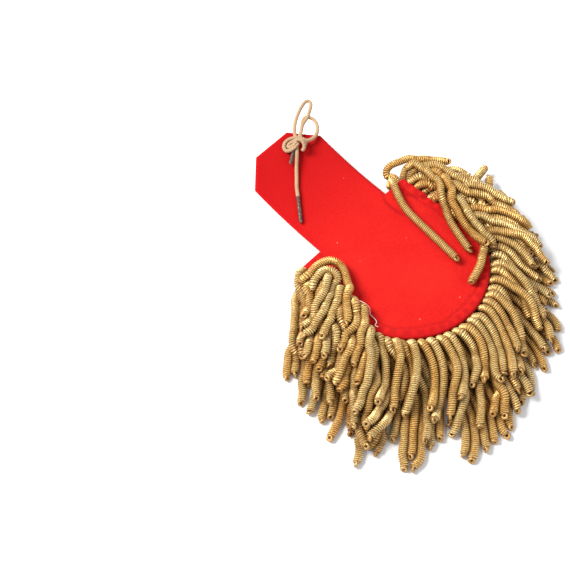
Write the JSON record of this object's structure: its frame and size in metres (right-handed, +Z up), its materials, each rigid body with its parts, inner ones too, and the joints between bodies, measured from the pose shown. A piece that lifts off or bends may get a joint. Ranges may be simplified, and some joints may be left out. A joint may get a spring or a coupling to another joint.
{
  "type": "fringed shoulder epaulette",
  "caption": "Shoulder epaulette lying face down: red felt lining on a clipped strap and round pad, a thick fringe of gold bullion round the pad, and a tied lace at the strap's end.",
  "frame": {"origin": "on the crescent's flat underside, at the middle of the pad's round end, where it rests", "axes": "+Z up, out of the felt lining; +Y along the strap, from the round end to the laced end; +X to the right, seen from the lining with the strap upwards"},
  "size_m": [0.2238, 0.2418, 0.0289],
  "materials": {
    "red_felt": "thick red wool felt, lightly worn",
    "gold_bullion": "coiled gilt wire bullion, slightly tarnished",
    "gold_roll": "padded roll wound with gilt wire",
    "braid_facing": "woven metallic gold braid",
    "cotton_lace": "round braided beige cotton lace",
    "aglet_metal": "japanned metal tag, worn brown"
  },
  "bodies": {
    "root": {"facing": "braid_facing", "lining": "red_felt", "crescent": "gold_roll", "bullion_fringe": "gold_bullion", "lace": "cotton_lace", "long_aglet": "aglet_metal", "short_aglet": "aglet_metal"}
  },
  "joints": []
}
